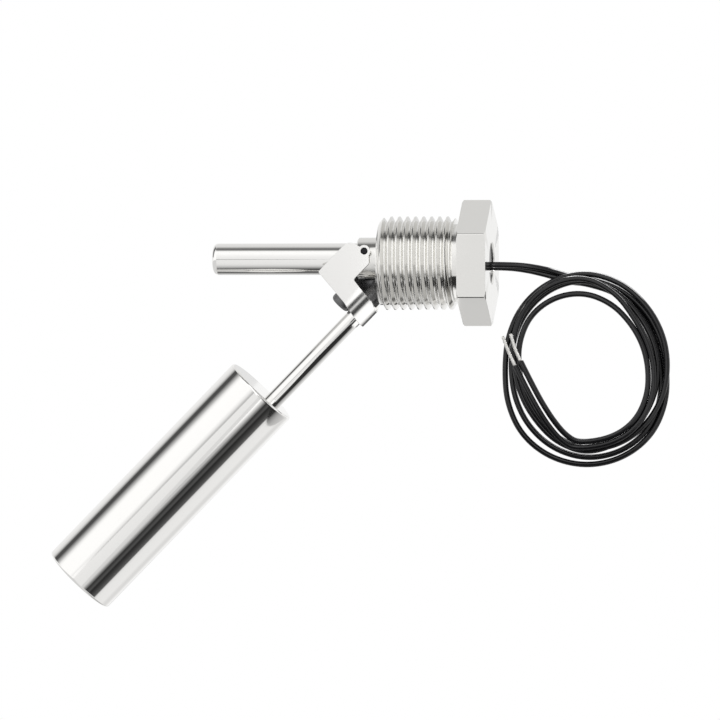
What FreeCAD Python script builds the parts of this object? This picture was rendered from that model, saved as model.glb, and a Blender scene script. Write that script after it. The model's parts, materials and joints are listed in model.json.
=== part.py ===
import FreeCAD, Part
import math
import os

# Side-mounted float level switch with a G 1/2 plug, in millimetres, +Z up.
# The origin is the centre of the sealing shoulder under the hexagon. The stem and the float point
# to -X, into the tank, the leads leave towards +X, and the float swings in the XZ plane.

V = FreeCAD.Vector
X_AXIS, Y_AXIS = V(1, 0, 0), V(0, 1, 0)

# ---- plug: one turned and milled piece ----
thread_major_d = 20.955          # G 1/2 parallel pipe thread, over its crests
thread_length = 16.5
thread_chamfer = 1.1             # at the tank end
thread_run_out = 0.6             # chamfer at the relief
thread_pitch = 1.8143            # 14 threads to the inch
thread_depth = 1.16
thread_angle = 55.0
thread_crest = 0.28              # flat on each ridge
relief_length = 2.1              # the undercut between the thread and the shoulder
relief_d = 17.4
hex_across_flats = 24.6
hex_length = 6.5
hex_roll = 3.4                   # degrees the hexagon is turned about the thread, front flat down
hex_corner_chamfer = 0.33        # axial depth of the 30 degree chamfer at each corner
hex_chamfer_angle = 30.0
plug_bore_d = 9.2
bore_mouth_chamfer = 0.3
front_wall = 4.0                 # between the bore and the tank

# ---- stem and the neck that carries it, both above the thread's axis ----
stem_rise = 0.95
neck_d = 9.6
neck_length = 5.0
neck_edge = 0.25
spigot_d = 6.8
stem_d = 7.1
stem_wall = 0.5
stem_length = 33.8
stem_edge_r = 1.1
stem_seat_depth = 0.9
weld_gap = 0.02                  # radial, between pieces that are welded, glued or potted together

# ---- hinge ----
pin_d = 1.5
pin_end_chamfer = 0.15
pin_from_plug = 2.95             # pin axis ahead of the plug's front face
pin_rise = 1.72                  # pin axis above the stem's axis
hinge_fit = 0.05                 # radial running clearance of the pin in the cheeks
press_gap = 0.005                # radial, of the pin in the neck

# ---- moving arm; "along" is measured from the pin down the arm, "below" square to it ----
rest_drop = 45.7                 # degrees of the arm below level, resting on its lower stop
yoke_inner_width = 10.6
yoke_sheet = 0.9
yoke_depth = 11.0                # from the pin to the outside of the bend
ear_r = 1.35
cheek_far = 10.6                 # along, of the cheek's far corner
cheek_top = 4.2                  # above the pin
cheek_top_r = 1.9
cheek_near = 0.95                # along, of the cheek's edge nearest the plug, at its top
cheek_heel = 1.3                 # and at its foot
cheek_heel_drop = 2.75           # below the pin
strap_near_top = 6.25            # along, of the strap's near edge under the cheek
strap_near_mid = 7.05            # where the bend turns under
strap_near_mid_drop = 9.0        # below the pin
strap_near_foot = 8.3            # and under the bend
strap_far_mid = 11.4             # along, of the strap's far edge where the bend starts
strap_far_foot = 12.9            # and under the bend
strap_corner_r = 0.5
stop_gap = 0.1                   # between the far cheek's stop edge and the plug's front face, at rest
stop_top = 1.6                   # along, of the stop edge's upper end
stop_foot = 4.6                  # and of its lower end
rod_d = 3.9
rod_start = 7.9                  # along
rod_edge = 0.3
magnet_d = 4.8
magnet_start = 9.5               # along
magnet_length = 3.75
magnet_edge_r = 0.9

# ---- float: a thin tube with a drawn cap at each end ----
float_d = 17.7
float_start = 39.1               # along
float_length = 59.7
float_wall = 0.35
float_edge_r = 0.6
float_skirt = 3.0                # length of a cap, edge included
float_offset = 3.5               # from the rod's axis, towards the pin
rod_entry = 1.5                  # length of rod inside the float

# ---- leads: two insulated wires, one above and beside the other ----
wire_d = 1.3
core_d = 0.7
wire_pitch = wire_d + 0.1
wire_roll = 26.6                 # degrees of the pair's line from level
wire_drop = 0.7                  # the pair's middle below the thread's axis
potting_recess = 0.5             # potting below the plug's back face

# ---- reed switch and what joins it to the wires ----
glass_d = 1.9
glass_length = 10.2
glass_wall = 0.25
glass_edge_r = 0.6
glass_seal = 1.4                 # solid glass at each end
glass_from_neck = 6.6
blade_width = 1.2
blade_thickness = 0.22
blade_gap = 0.12
blade_overlap = 0.9
leg_d = 0.5
leg_out = 1.2                    # from the glass to the leg's first bend
leg_in = 0.6                     # from the leg's last bend to its joint
joint_clear = 0.7                # between a wire's insulation and its joint
near_jacket_past_neck = 0.3      # length of a wire's insulation beyond the neck's seat for the stem
near_joint_d = 1.3
near_joint_length = 2.0
joint_fit = 0.03                 # radial
far_joint_d = 1.9
far_joint_length = 5.0
far_joint_wall = 0.25
far_joint_from_glass = 3.0
core_in_joint = 0.9
holder_margin = 1.0              # length of the reed's holder past each end of the glass
holder_fit = 0.05                # radial

# ---- loose coil of the leads, and the free ends ----
coil_x, coil_z = 27.5, -23.8
coil_half_width, coil_half_height = 18.8, 22.0
coil_end_r = 17.2                # top and bottom of the coil's outline
coil_band = 5.6
coil_thickness = 3.0
coil_edge_r = 1.2
strand_d = 0.75                  # stripped and tinned end

front_x = -(relief_length + thread_length)
neck_end_x = front_x - neck_length
stem_seat_x = neck_end_x + stem_seat_depth
potting_face_x = hex_length - potting_recess
pin_x, pin_z = front_x - pin_from_plug, stem_rise + pin_rise
pair_y = wire_pitch / 2 * math.cos(math.radians(wire_roll))
pair_z = wire_pitch / 2 * math.sin(math.radians(wire_roll))
wire_a = (-pair_y, -wire_drop + pair_z)
wire_b = (pair_y, -wire_drop - pair_z)
passage_d = wire_pitch + wire_d + 2 * holder_fit
bend_r = yoke_inner_width / 2 + yoke_sheet
bend_centre = yoke_depth - bend_r
rod_below = yoke_depth - yoke_sheet - weld_gap - rod_d / 2
magnet_below = rod_below - rod_d / 2 - weld_gap - magnet_d / 2
float_below = rod_below - float_offset
glass_start_x = neck_end_x - glass_from_neck
glass_end_x = glass_start_x - glass_length


def rod_along_x(diameter, x_from, x_to, y=0.0, z=0.0):
    """A round bar along X between two stations."""
    low, high = min(x_from, x_to), max(x_from, x_to)
    return Part.makeCylinder(diameter / 2, high - low, V(low, y, z), X_AXIS)


def turned(profile, y=0.0, z=0.0):
    """A solid turned about the line through (y, z) along X, from (x, radius) points."""
    points = [V(x, y, z + radius) for x, radius in profile]
    face = Part.Face(Part.makePolygon(points + points[:1]))
    return face.revolve(V(0, y, z), X_AXIS, 360)


def round_edges(solid, radius, wanted):
    """Fillet the circular edges that wanted() picks."""
    edges = [e for e in solid.Edges if hasattr(e.Curve, "Radius") and wanted(e)]
    return solid.makeFillet(radius, edges)


def corner_arc(before, corner, after, radius):
    """The arc of this radius that blends two straight runs, as its start, middle and end."""
    back = (before - corner).normalize()
    on = (after - corner).normalize()
    half_turn = (math.pi - back.getAngle(on)) / 2
    setback = radius * math.tan(half_turn)
    middle_out = radius / math.cos(half_turn) - radius
    middle = corner + (back + on).normalize() * middle_out
    return corner + back * setback, middle, corner + on * setback


def wire_path(points):
    """Straight runs through the points, joined by arcs as large as the runs allow, and their radii."""
    points = [V(*p) for p in points]
    edges, radii, here = [], [], points[0]
    for before, corner, after in zip(points, points[1:], points[2:]):
        shorter = min((corner - before).Length, (after - corner).Length)
        half_turn = (corner - before).getAngle(after - corner) / 2
        radius = 0.45 * shorter / math.tan(half_turn)
        start, middle, end = corner_arc(before, corner, after, radius)
        edges += [Part.LineSegment(here, start).toShape(), Part.Arc(start, middle, end).toShape()]
        radii.append(radius)
        here = end
    edges.append(Part.LineSegment(here, points[-1]).toShape())
    return Part.Wire(edges), radii


def tube(name, points, diameter):
    """A round wire along a route. Prints its bend radii and its volume over section times length."""
    path, radii = wire_path(points)
    along = V(*points[1]) - V(*points[0])
    section = Part.Face(Part.Wire(Part.makeCircle(diameter / 2, V(*points[0]), along)))
    solid = path.makePipe(section)
    ratio = solid.Volume / (math.pi * diameter**2 / 4 * path.Length)
    shown = " ".join(f"{r:.1f}" for r in radii)
    print(f"{name}: length {path.Length:.1f}, radii {shown}, volume ratio {ratio:.4f}")
    return solid


def outline(corners):
    """A closed outline in the XZ plane from (x, z, corner radius), with an arc at each rounded corner."""
    places = [V(x, 0, z) for x, z, _ in corners]
    stops = []
    for i, (_, _, radius) in enumerate(corners):
        before, after = places[i - 1], places[(i + 1) % len(places)]
        stops.append(corner_arc(before, places[i], after, radius) if radius else (places[i],))
    edges = []
    for i, stop in enumerate(stops):
        if len(stop) == 3:
            edges.append(Part.Arc(*stop).toShape())
        edges.append(Part.LineSegment(stop[-1], stops[(i + 1) % len(stops)][0]).toShape())
    return Part.Wire(edges)


# ---- plug ----

def hexagon():
    corner_r = hex_across_flats / math.sqrt(3)
    turns = [math.radians(60 * i + 90 + hex_roll) for i in range(6)]
    points = [V(0, corner_r * math.cos(t), corner_r * math.sin(t)) for t in turns]
    prism = Part.Face(Part.makePolygon(points + points[:1])).extrude(X_AXIS * hex_length)
    face_r = corner_r - hex_corner_chamfer / math.tan(math.radians(hex_chamfer_angle))
    ends = [(0, 0), (0, face_r), (hex_corner_chamfer, corner_r)]
    ends += [(hex_length - hex_corner_chamfer, corner_r), (hex_length, face_r), (hex_length, 0)]
    return prism.common(turned(ends))


def thread_profile():
    """(x, radius) from the relief to the tank end, as plain ridges at the thread's pitch."""
    crest_r, root_r = thread_major_d / 2, thread_major_d / 2 - thread_depth
    start, end = -relief_length - thread_run_out, front_x + thread_chamfer
    flank = thread_depth * math.tan(math.radians(thread_angle / 2))
    points = [(-relief_length, crest_r - thread_run_out), (start, crest_r)]
    for i in range(int((start - end - thread_crest) / thread_pitch)):
        groove_start = start - i * thread_pitch - thread_crest
        groove_end = start - (i + 1) * thread_pitch
        points += [
            (groove_start, crest_r), (groove_start - flank, root_r),
            (groove_end + flank, root_r), (groove_end, crest_r),
        ]
    return points + [(end, crest_r), (front_x, crest_r - thread_chamfer)]


def plug_body():
    relief_r = relief_d / 2
    relief = [(0, 0), (0, relief_r), (-relief_length, relief_r)]
    shank = turned(relief + thread_profile() + [(front_x, 0)])
    bore_r = plug_bore_d / 2
    bore = turned([
        (hex_length, 0), (hex_length, bore_r + bore_mouth_chamfer),
        (hex_length - bore_mouth_chamfer, bore_r), (front_x + front_wall, bore_r),
        (front_x + front_wall, 0),
    ])
    spigot_hole = rod_along_x(spigot_d + 2 * weld_gap, front_x, front_x + front_wall, z=stem_rise)
    return hexagon().fuse(shank).cut(bore).cut(spigot_hole).removeSplitter()


def hinge_neck():
    neck_r, spigot_r = neck_d / 2, spigot_d / 2
    body = turned([
        (front_x + front_wall, 0), (front_x + front_wall, spigot_r), (front_x, spigot_r), (front_x, neck_r),
        (neck_end_x + neck_edge, neck_r), (neck_end_x, neck_r - neck_edge), (neck_end_x, 0),
    ], z=stem_rise)
    seat = rod_along_x(stem_d + 2 * weld_gap, neck_end_x, stem_seat_x, z=stem_rise)
    passage = rod_along_x(passage_d, neck_end_x, front_x + front_wall, z=-wire_drop)
    pin_hole = Part.makeCylinder(pin_d / 2 + press_gap, neck_d, V(pin_x, -neck_d / 2, pin_z), Y_AXIS)
    return body.cut(seat).cut(passage).cut(pin_hole)


def stem_tube():
    tip_x = stem_seat_x - stem_length
    tube_body = rod_along_x(stem_d, stem_seat_x, tip_x, z=stem_rise)
    tube_body = round_edges(tube_body, stem_edge_r, lambda e: abs(e.CenterOfMass.x - tip_x) < 1e-6)
    inside = rod_along_x(stem_d - 2 * stem_wall, stem_seat_x, tip_x + stem_wall, z=stem_rise)
    inner_r = stem_edge_r - stem_wall
    inside = round_edges(inside, inner_r, lambda e: abs(e.CenterOfMass.x - tip_x - stem_wall) < 1e-6)
    return tube_body.cut(inside)


def potting():
    fill_d = plug_bore_d - 2 * weld_gap
    fill = rod_along_x(fill_d, front_x + front_wall + weld_gap, potting_face_x)
    for y, z in (wire_a, wire_b):
        fill = fill.cut(rod_along_x(wire_d + 2 * weld_gap, front_x, hex_length, y, z))
    return fill


def hinge_pin():
    length = yoke_inner_width + 2 * yoke_sheet
    pin = Part.makeCylinder(pin_d / 2, length, V(pin_x, -length / 2, pin_z), Y_AXIS)
    return pin.makeChamfer(pin_end_chamfer, [e for e in pin.Edges if hasattr(e.Curve, "Radius")])


# ---- reed switch in the stem ----

def inner_wire(place, end_x):
    """The insulated wire inside the switch, from the potting's face to its bared core."""
    jacket = rod_along_x(wire_d, potting_face_x, end_x, *place)
    core = rod_along_x(core_d, end_x, end_x - joint_clear - core_in_joint, *place)
    return jacket.fuse(core).removeSplitter()


def toward_stem_axis(place, distance):
    """A place moved this far from a wire's line towards the stem's axis."""
    step = V(0, -place[0], stem_rise - place[1]).normalize() * distance
    return place[0] + step.y, place[1] + step.z


near_jacket_x = neck_end_x - near_jacket_past_neck
near_joint_x = near_jacket_x - joint_clear
far_joint_x = glass_end_x - far_joint_from_glass
far_jacket_x = far_joint_x + joint_clear
leg_step = core_d / 2 + leg_d / 2 + joint_fit
far_leg = toward_stem_axis(wire_b, leg_step)
far_joint_place = toward_stem_axis(wire_b, leg_step / 2)


def near_joint():
    """A soldered sleeve with the wire's core in one end and the reed's leg in the other."""
    end_x = near_joint_x - near_joint_length
    barrel = rod_along_x(near_joint_d, near_joint_x, end_x, *wire_a)
    return barrel.cut(rod_along_x(core_d + 2 * joint_fit, near_joint_x, end_x, *wire_a))


def far_joint():
    """A closed-end sleeve, where the wire's core and the reed's leg enter side by side."""
    end_x = far_joint_x - far_joint_length
    barrel = rod_along_x(far_joint_d, far_joint_x, end_x, *far_joint_place)
    inside_d = far_joint_d - 2 * far_joint_wall
    return barrel.cut(rod_along_x(inside_d, far_joint_x, end_x + far_joint_wall, *far_joint_place))


def reed_glass():
    glass = rod_along_x(glass_d, glass_start_x, glass_end_x, z=stem_rise)
    glass = round_edges(glass, glass_edge_r, lambda e: True)
    hollow_start, hollow_end = glass_start_x - glass_seal, glass_end_x + glass_seal
    hollow = rod_along_x(glass_d - 2 * glass_wall, hollow_start, hollow_end, z=stem_rise)
    hollow = round_edges(hollow, glass_wall, lambda e: True)
    leg_hole = rod_along_x(leg_d + 2 * press_gap, glass_start_x, glass_end_x, z=stem_rise)
    return glass.cut(hollow).cut(leg_hole)


def reed_blade(name, side, leg_points, blade_tip_x):
    """A reed: its flat blade in the glass and the round leg that leaves by one end."""
    leg = tube(name, leg_points, leg_d)
    root_x = leg_points[0][0]
    low_x, high_x = sorted((root_x, blade_tip_x))
    offset = side * (blade_gap + blade_thickness) / 2
    corner = V(low_x, -blade_width / 2, stem_rise + offset - blade_thickness / 2)
    return leg.fuse(Part.makeBox(high_x - low_x, blade_width, blade_thickness, corner)).removeSplitter()


def reed_blades():
    middle_x = (glass_start_x + glass_end_x) / 2
    root_a = glass_start_x - glass_seal - glass_wall
    root_b = glass_end_x + glass_seal + glass_wall
    joint_a = near_joint_x - near_joint_length
    leg_a = [
        (root_a, 0, stem_rise), (glass_start_x + leg_out, 0, stem_rise),
        (joint_a - leg_in, *wire_a), (joint_a + core_in_joint, *wire_a),
    ]
    leg_b = [
        (root_b, 0, stem_rise), (glass_end_x - leg_out, 0, stem_rise),
        (far_joint_x + leg_in / 2, *far_leg), (far_joint_x - 2 * core_in_joint, *far_leg),
    ]
    blade_a = reed_blade("reed_blade_a", 1, leg_a, middle_x - blade_overlap / 2)
    blade_b = reed_blade("reed_blade_b", -1, leg_b, middle_x + blade_overlap / 2)
    return blade_a, blade_b


def reed_holder():
    """A plastic core that centres the glass in the stem and clears the wire that passes it."""
    start, end = glass_start_x + holder_margin, glass_end_x - holder_margin
    core = rod_along_x(stem_d - 2 * stem_wall - 2 * holder_fit, start, end, z=stem_rise)
    glass_bore = rod_along_x(glass_d + 2 * holder_fit, start, end, z=stem_rise)
    wire_bore = rod_along_x(wire_d + 2 * holder_fit, start, end, *wire_b)
    near_leg_slot = rod_along_x(near_joint_d + 2 * holder_fit, start, glass_start_x, *wire_a)
    return core.cut(glass_bore).cut(wire_bore).cut(near_leg_slot)


# ---- moving arm, drawn level with the arm towards -X and then dropped to its rest ----

def arm_x(along):
    return pin_x - along


def arm_z(below):
    return pin_z - below


def at_rest(shape):
    shape.rotate(V(pin_x, 0, pin_z), Y_AXIS, -rest_drop)
    return shape


def u_channel(length):
    """The bent section of the yoke, two cheeks and a round bend, as long as the side outline needs."""
    def section(half_width):
        top = cheek_top + yoke_sheet
        corners = [V(0, -half_width, top), V(0, -half_width, -bend_centre)]
        bottom = V(0, 0, -bend_centre - half_width)
        others = [V(0, half_width, -bend_centre), V(0, half_width, top)]
        edges = [
            Part.LineSegment(*corners).toShape(), Part.Arc(corners[1], bottom, others[0]).toShape(),
            Part.LineSegment(*others).toShape(), Part.LineSegment(others[1], corners[0]).toShape(),
        ]
        return Part.Face(Part.Wire(edges)).extrude(X_AXIS * length)
    return section(bend_r).cut(section(bend_r - yoke_sheet))


def stop_edge(along):
    """How far below the pin the far cheek's stop edge is, so that it meets the plug squarely at rest."""
    drop = math.radians(rest_drop)
    return (pin_from_plug - stop_gap + along * math.cos(drop)) / math.sin(drop)


def yoke():
    """One bent sheet. The cheek at -Y is notched; the one at +Y keeps its edge, which is the lower stop."""
    shared = [
        (strap_near_foot, yoke_depth, 0), (strap_far_foot, yoke_depth, 0), (strap_far_mid, bend_centre, 0),
        (cheek_far, -cheek_top, strap_corner_r), (cheek_near, -cheek_top, cheek_top_r),
        (0, -ear_r, 0), (0, ear_r, 0),
    ]
    notch = [
        (cheek_heel, cheek_heel_drop, strap_corner_r), (strap_near_top, cheek_heel_drop, strap_corner_r),
        (strap_near_mid, strap_near_mid_drop, 0),
    ]
    stop = [(along, stop_edge(along), strap_corner_r) for along in (stop_top, stop_foot)]
    hole = Part.makeCylinder(pin_d / 2 + hinge_fit, 2 * bend_r, V(pin_x, -bend_r, pin_z), Y_AXIS)
    blank = Part.makeCylinder(ear_r, 2 * bend_r, V(pin_x, -bend_r, pin_z), Y_AXIS)
    for near_edge, side in ((notch, -1), (stop, 1)):
        half = Part.Face(outline([(arm_x(a), arm_z(b), r) for a, b, r in shared + near_edge]))
        blank = blank.fuse(half.extrude(Y_AXIS * (side * bend_r)))
    channel = u_channel(strap_far_foot + 2 * ear_r)
    channel.translate(V(arm_x(strap_far_foot + ear_r), 0, pin_z))
    return at_rest(channel.common(blank).cut(hole).removeSplitter())


def arm_rod():
    end = float_start + rod_entry
    rod = rod_along_x(rod_d, arm_x(rod_start), arm_x(end), z=arm_z(rod_below))
    near = [e for e in rod.Edges if abs(e.CenterOfMass.x - arm_x(rod_start)) < 1e-6]
    return at_rest(rod.makeChamfer(rod_edge, near))


def magnet():
    start, end = arm_x(magnet_start), arm_x(magnet_start + magnet_length)
    bar = rod_along_x(magnet_d, start, end, z=arm_z(magnet_below))
    return at_rest(round_edges(bar, magnet_edge_r, lambda e: True))


def float_cap(end, inward):
    """A drawn cap, its rounded edge at one end of the float and its skirt facing inward (+1 is +X)."""
    x, z = arm_x(end), arm_z(float_below)
    outer = rod_along_x(float_d, x, x + inward * float_skirt, z=z)
    outer = round_edges(outer, float_edge_r, lambda e: abs(e.CenterOfMass.x - x) < 1e-6)
    floor_x = x + inward * float_wall
    inner = rod_along_x(float_d - 2 * float_wall, floor_x, x + inward * float_skirt, z=z)
    inner_r = float_edge_r - float_wall
    inner = round_edges(inner, inner_r, lambda e: abs(e.CenterOfMass.x - floor_x) < 1e-6)
    return outer.cut(inner)


def float_cap_near():
    hole_d = rod_d + 2 * weld_gap
    start, end = arm_x(float_start), arm_x(float_start + float_wall)
    hole = rod_along_x(hole_d, start, end, z=arm_z(rod_below))
    return at_rest(float_cap(float_start, -1).cut(hole))


def float_cap_far():
    return at_rest(float_cap(float_start + float_length, 1))


def float_tube():
    start, end = float_start + float_skirt, float_start + float_length - float_skirt
    outer = rod_along_x(float_d, arm_x(start), arm_x(end), z=arm_z(float_below))
    inner = rod_along_x(float_d - 2 * float_wall, arm_x(start), arm_x(end), z=arm_z(float_below))
    return at_rest(outer.cut(inner))


# ---- free leads ----

lead_a_points = [
    (potting_face_x, *wire_a), (9.8, *wire_a), (13.8, -0.70, -0.76), (18.0, -0.80, -1.52),
    (22.0, -0.90, -2.55), (25.8, -1.00, -3.90),
]
lead_b_points = [
    (potting_face_x, *wire_b), (9.9, *wire_b), (14.1, 0.58, -1.48), (18.2, 0.48, -2.30),
    (22.2, 0.45, -3.35), (26.0, 0.50, -4.70),
]
tail_a_points = [
    (26.2, -0.60, -40.6), (22.9, -1.20, -38.0), (20.3, -1.70, -34.9), (18.3, -2.05, -31.6),
    (16.5, -2.25, -28.3), (14.85, -2.30, -25.1), (13.30, -2.30, -22.0),
]
tail_b_points = [
    (25.2, -0.60, -41.7), (21.8, -1.20, -39.2), (19.1, -1.70, -35.9), (17.0, -2.05, -32.5),
    (15.2, -2.25, -29.2), (13.6, -2.30, -26.1), (12.10, -2.30, -23.1),
]
strand_a_points = [
    (13.30, -2.30, -22.0), (12.30, -2.30, -20.0), (11.60, -2.32, -17.95), (11.05, -2.38, -15.85),
]
strand_b_points = [
    (12.10, -2.30, -23.1), (11.05, -2.30, -21.0), (10.12, -2.31, -18.7), (9.26, -2.35, -16.4),
]


def oval(inset):
    """The coil's outline drawn in by the inset, an upright oval of four arcs."""
    half_width, half_height = coil_half_width - inset, coil_half_height - inset
    end_r = coil_end_r - inset
    end_rise = half_height - end_r
    side_r = (half_width**2 + end_rise**2 - end_r**2) / (2 * (half_width - end_r))
    lean = math.atan2(end_rise, side_r - half_width)
    join_x = side_r * math.cos(lean) - (side_r - half_width)
    join_z = side_r * math.sin(lean)
    stops = [
        (-join_x, join_z), (0, half_height), (join_x, join_z), (half_width, 0),
        (join_x, -join_z), (0, -half_height), (-join_x, -join_z), (-half_width, 0), (-join_x, join_z),
    ]
    places = [V(coil_x + x, -coil_thickness / 2, coil_z + z) for x, z in stops]
    return Part.Wire([Part.Arc(*places[i:i + 3]).toShape() for i in (0, 2, 4, 6)])


def lead_coil():
    """The room that the coiled turns of both wires take up."""
    ring = Part.Face(oval(0)).extrude(Y_AXIS * coil_thickness)
    ring = ring.cut(Part.Face(oval(coil_band)).extrude(Y_AXIS * coil_thickness))
    rims = [e for e in ring.Edges if abs(e.tangentAt(e.FirstParameter).y) < 0.5]
    return ring.makeFillet(coil_edge_r, rims)


def main():
    blade_a, blade_b = reed_blades()
    coil = lead_coil()
    parts = {
        "plug_body": plug_body(),
        "hinge_neck": hinge_neck(),
        "hinge_pin": hinge_pin(),
        "stem_tube": stem_tube(),
        "potting": potting(),
        "inner_wire_a": inner_wire(wire_a, near_jacket_x),
        "inner_wire_b": inner_wire(wire_b, far_jacket_x),
        "joint_sleeve_a": near_joint(),
        "joint_sleeve_b": far_joint(),
        "reed_glass": reed_glass(),
        "reed_blade_a": blade_a,
        "reed_blade_b": blade_b,
        "reed_holder": reed_holder(),
        "yoke": yoke(),
        "arm_rod": arm_rod(),
        "magnet": magnet(),
        "float_tube": float_tube(),
        "float_cap_near": float_cap_near(),
        "float_cap_far": float_cap_far(),
        "lead_coil": coil,
        "lead_a": tube("lead_a", lead_a_points, wire_d).cut(coil),
        "lead_b": tube("lead_b", lead_b_points, wire_d).cut(coil),
        "lead_tail_a": tube("lead_tail_a", tail_a_points, wire_d).cut(coil),
        "lead_tail_b": tube("lead_tail_b", tail_b_points, wire_d).cut(coil),
        "bare_strand_a": tube("bare_strand_a", strand_a_points, strand_d),
        "bare_strand_b": tube("bare_strand_b", strand_b_points, strand_d),
    }
    os.makedirs("parts", exist_ok=True)
    for name, shape in parts.items():
        print(f"{name}: {len(shape.Solids)} solid, {shape.Volume:.2f} mm3, valid {shape.isValid()}")
        solid, = shape.Solids
        solid.exportStep(f"parts/{name}.step")


main()
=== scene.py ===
"""Dresses the float level switch: its leads, thread, hinge, float and finishes, in a small white studio."""
import json
import math

import bmesh
import bpy
from bpy.props import FloatProperty, FloatVectorProperty, IntProperty, PointerProperty
from bpy.types import Operator, Panel, PropertyGroup
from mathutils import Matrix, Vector


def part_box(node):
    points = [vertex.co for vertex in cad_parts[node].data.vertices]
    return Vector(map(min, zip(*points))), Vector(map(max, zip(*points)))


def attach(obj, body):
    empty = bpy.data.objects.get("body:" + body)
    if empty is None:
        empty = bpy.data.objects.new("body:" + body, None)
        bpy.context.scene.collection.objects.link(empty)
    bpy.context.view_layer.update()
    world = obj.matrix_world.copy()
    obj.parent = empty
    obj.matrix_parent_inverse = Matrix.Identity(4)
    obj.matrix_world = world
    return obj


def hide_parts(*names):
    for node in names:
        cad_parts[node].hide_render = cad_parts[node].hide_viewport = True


bl_info = {
    "name": "Float Level Switch",
    "version": (1, 0, 0),
    "blender": (4, 5, 0),
    "location": "View3D > Sidebar > Level Switch",
    "description": "Builds the pieces, finishes and studio of a side-mounted float level switch",
    "category": "Object",
}

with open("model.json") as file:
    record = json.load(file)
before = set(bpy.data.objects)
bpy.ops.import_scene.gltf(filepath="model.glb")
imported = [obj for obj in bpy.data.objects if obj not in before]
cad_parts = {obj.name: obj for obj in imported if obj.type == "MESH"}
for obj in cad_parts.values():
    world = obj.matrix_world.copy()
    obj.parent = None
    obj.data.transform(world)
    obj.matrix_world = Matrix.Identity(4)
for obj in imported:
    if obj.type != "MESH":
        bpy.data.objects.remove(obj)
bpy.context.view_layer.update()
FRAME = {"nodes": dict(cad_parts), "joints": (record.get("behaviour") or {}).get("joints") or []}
MM = 0.001
FRONT_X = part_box("plug_body")[0].x
HEX_END_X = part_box("plug_body")[1].x
PIN = Vector(FRAME["joints"][0]["pos_m"])


# ---- settings ----

def length(name, default, description):
    """A size in metres that a user would change."""
    return FloatProperty(
        name=name, description=description, default=default, min=0, unit="LENGTH", precision=5
    )


def offset(name, default, description):
    """A distance in metres, to either side of zero, that a user would change."""
    return FloatProperty(name=name, description=description, default=default, unit="LENGTH", precision=5)


def angle(name, degrees, description):
    """An angle that a user would change."""
    return FloatProperty(
        name=name, description=description, default=math.radians(degrees), subtype="ANGLE"
    )


def linear(hex_code):
    """An sRGB hex colour as linear red, green, blue and alpha."""
    parts = [int(hex_code[i:i + 2], 16) / 255 for i in (1, 3, 5)]
    return tuple(p / 12.92 if p <= 0.04045 else ((p + 0.055) / 1.055) ** 2.4 for p in parts) + (1.0,)


def colour(name, hex_code, description):
    """A colour that a user would change."""
    return FloatVectorProperty(
        name=name, description=description, default=linear(hex_code), size=4, min=0, max=1,
        subtype="COLOR",
    )


class LeadSizes(PropertyGroup):
    wire_d: length("Wire", 1.3 * MM, "Outside diameter of a wire's insulation")
    bundle_d: length("Tinned end", 0.75 * MM, "Over the strands of a tinned end")
    strand_d: length("Strand", 0.27 * MM, "Diameter of one tinned strand")
    lay: length("Lay", 5 * MM, "Length in which the strands twist once round")
    wire_length: length("Length", 335 * MM, "Length of each wire from the potting to its bare end")
    turn_points: IntProperty(
        name="Points a turn", description="Control points in each turn", default=16, min=12
    )


class PlugSizes(PropertyGroup):
    thread_d: length("Thread", 20.955 * MM, "Over the thread's crests")
    pitch: length("Pitch", 25.4 / 14 * MM, "Fourteen threads to the inch")
    thread_depth: length("Thread depth", 1.16 * MM, "From the thread's crest to its root")
    thread_angle: angle("Thread angle", 55, "Between a thread's flanks")
    thread_crest: length("Thread crest", 0.28 * MM, "Width of the flat along a thread's crest")
    thread_edge: length("Thread edge", 0.07 * MM, "Radius along the edges of a thread's crest and root")
    end_chamfer: length("End chamfer", 1.1 * MM, "At the tank end of the thread")
    run_out: length("Run-out", 0.6 * MM, "Chamfer of the thread at the undercut")
    relief_length: length("Undercut", 1.6 * MM, "Length of the undercut below the hexagon")
    relief_d: length("Undercut diameter", 17.4 * MM, "Diameter of the undercut")
    hex_flats: length("Hexagon", 24.6 * MM, "Across the hexagon's flats")
    hex_roll: angle("Hexagon roll", 3.4, "Turn of the hexagon about the thread")
    hex_edge: length("Hexagon edge", 0.45 * MM, "Radius along the edges between the hexagon's flats")
    hex_chamfer: length("Corner chamfer", 0.33 * MM, "Depth of the hexagon's corner chamfer")
    hex_chamfer_slope: angle("Chamfer slope", 30, "Of the hexagon's corner chamfer, from its end faces")
    bore_d: length("Bore", 9.2 * MM, "The recess that holds the potting")
    bore_chamfer: length("Bore chamfer", 0.3 * MM, "At the mouth of the recess")
    wall: length("Front wall", 4.0 * MM, "Between the recess and the tank")
    spigot_d: length("Spigot hole", 6.84 * MM, "The hole for the neck")
    spigot_rise: length("Spigot rise", 0.95 * MM, "Height of the neck above the thread's axis")


class StudioSizes(PropertyGroup):
    azimuth: angle("Azimuth", 8, "Camera's turn about the part")
    distance: length("Distance", 2.0, "From the camera to the part")
    view_width: length("View", 161.2 * MM, "Width that the camera takes in at the part")
    aim_across: offset("Across", -23.1 * MM, "Aim from the plug's shoulder, to the camera's right")
    aim_up: offset("Up", -21.7 * MM, "Aim from the plug's shoulder, upwards")
    floor_z: offset("Floor", -0.5, "Height of the floor")


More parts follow.
